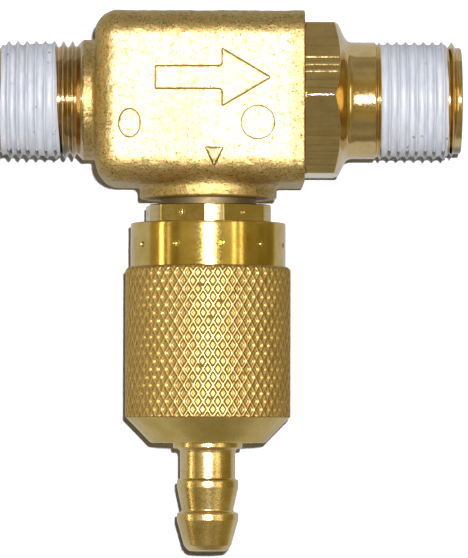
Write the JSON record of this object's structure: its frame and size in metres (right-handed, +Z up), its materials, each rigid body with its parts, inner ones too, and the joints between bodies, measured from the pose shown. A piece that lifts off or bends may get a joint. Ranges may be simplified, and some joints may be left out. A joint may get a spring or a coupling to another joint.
{
  "type": "chemical injector",
  "caption": "Brass venturi chemical injector: threaded water inlet and outlet in line, a suction hose tail below and a knurled knob that meters the additive.",
  "frame": {"origin": "centre of the inlet end, on the flow axis", "axes": "+X along the flow, from the inlet to the outlet; +Z up, away from the hose tail; the marked face of the body looks along -Y"},
  "size_m": [0.0672, 0.0254, 0.0783],
  "materials": {
    "cast_brass": "sand-cast, pitted, faces machined",
    "turned_brass": "turned, knurled grip",
    "bar_brass": "turned from hexagon bar",
    "stainless": "ground",
    "thread_tape": "thin white sealing tape, stretched over a thread",
    "seal_rubber": "smooth black",
    "washer_plastic": "smooth natural"
  },
  "bodies": {
    "body": {"injector_body": "cast_brass", "inlet_tape": "thread_tape", "jet_nozzle": "stainless", "nozzle_o_ring": "seal_rubber", "diffuser_insert": "turned_brass", "outlet_nipple": "bar_brass", "nipple_o_ring": "seal_rubber", "outlet_tape": "thread_tape", "valve_stem": "turned_brass", "stem_o_ring": "seal_rubber", "dust_o_ring": "seal_rubber", "spring_retainer": "washer_plastic", "check_spring": "stainless", "thrust_spring": "stainless"},
    "tail": {"hose_tail": "turned_brass", "metering_needle": "stainless", "tail_o_ring_upper": "seal_rubber", "tail_o_ring_lower": "seal_rubber"},
    "knob": {"metering_knob": "turned_brass", "thrust_washer": "washer_plastic", "snap_ring": "stainless"},
    "ball": {"check_ball": "stainless"}
  },
  "joints": [
    {"name": "tail_travel", "type": "slide", "parent": "body", "child": "tail", "axis": [0, 0, 1], "range_m": [-0.00075, 0.0015], "deforming": ["thrust_spring"]},
    {"name": "knob_turn", "type": "hinge", "parent": "tail", "child": "knob", "pos_m": [0.0304, 0, -0.035], "axis": [0, 0, 1], "range_deg": [-180.1, 360.1]},
    {"name": "ball_lift", "type": "slide", "parent": "body", "child": "ball", "axis": [0, 0, 1], "range_m": [0, 0.0012], "stiffness_N_per_m": 40, "springref_m": -0.001, "deforming": ["check_spring"]}
  ],
  "couplings": [
    {"joint": "knob_turn", "follows": "tail_travel", "rad_per_m": 4188.8}
  ]
}
